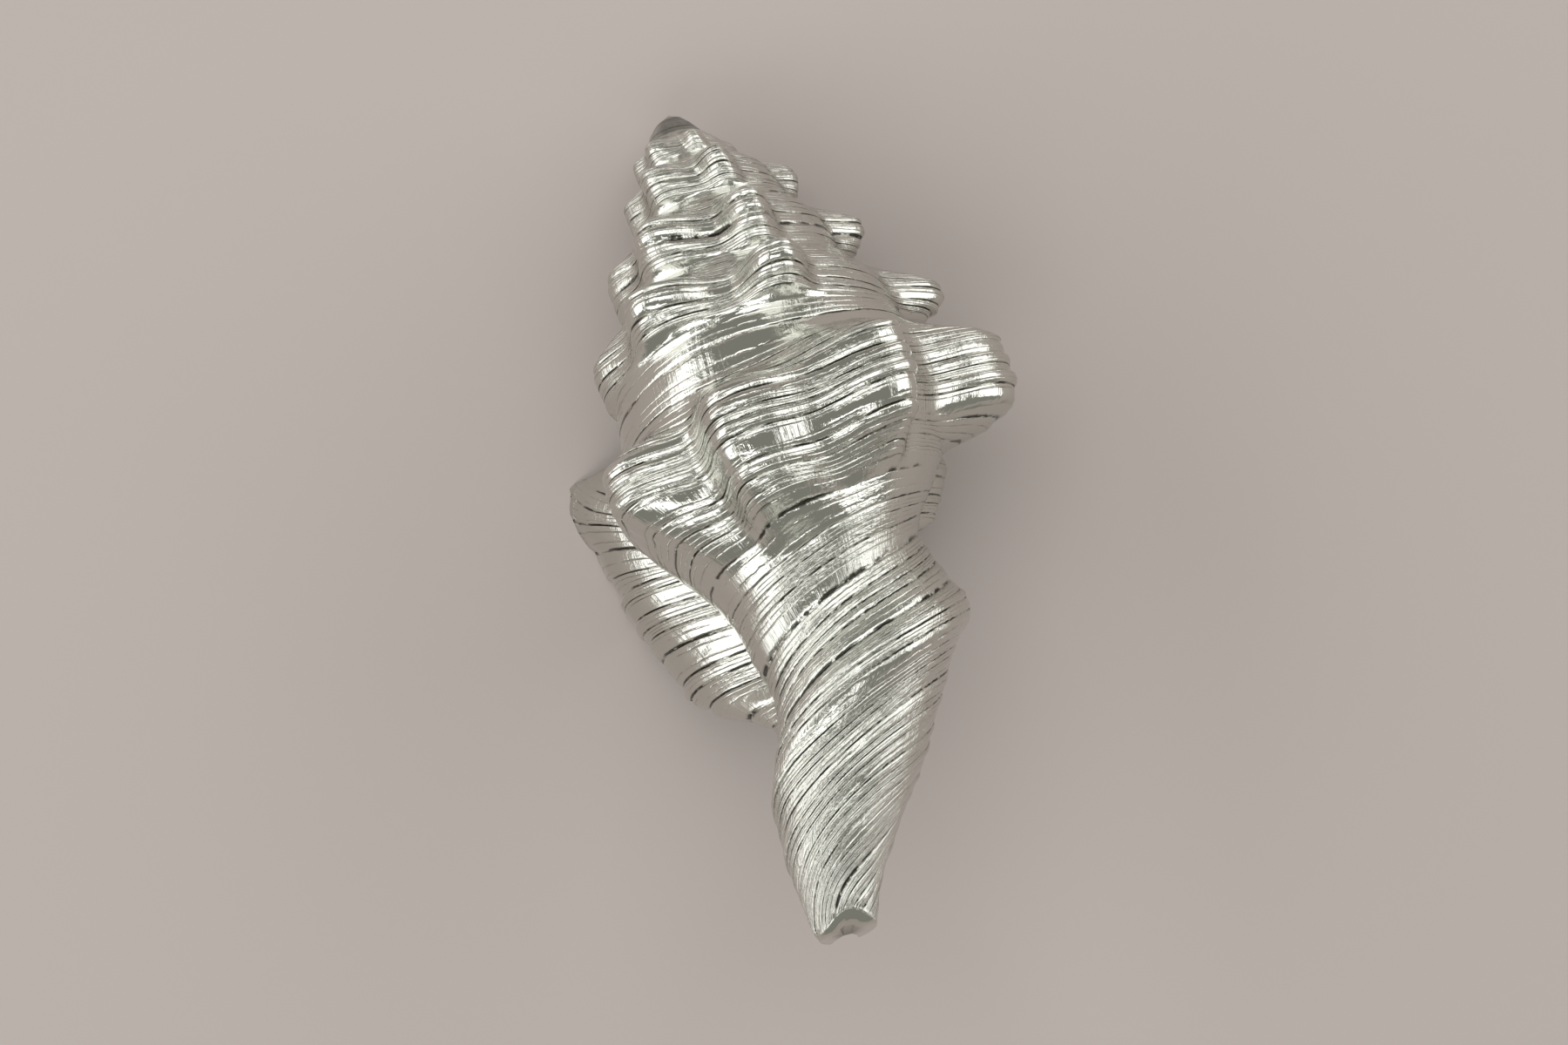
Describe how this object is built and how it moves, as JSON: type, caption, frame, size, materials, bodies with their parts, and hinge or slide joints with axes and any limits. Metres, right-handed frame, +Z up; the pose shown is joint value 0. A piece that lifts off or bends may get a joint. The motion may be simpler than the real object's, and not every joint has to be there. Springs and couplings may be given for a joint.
{
  "type": "conch shell",
  "caption": "Knobbed and ridged conch shell in polished silver, with a pointed spire, flared outer lip, open aperture and long open canal, lying aperture side down.",
  "frame": {"origin": "centre of the bounding box's bottom face, on the surface that the shell lies on", "axes": "+Z up, away from that surface; +Y along the shell's length, towards the apex of the spire; +X to the right of the shell seen from above, where the large shoulder knob stands; the open canal ends at -Y and the flared lip faces -X"},
  "size_m": [0.0988, 0.18, 0.0864],
  "materials": {
    "polished_silver": "polished silver, with faint grey tarnish in the grooves"
  },
  "bodies": {
    "root": {"conch_shell": "polished_silver"}
  },
  "joints": []
}
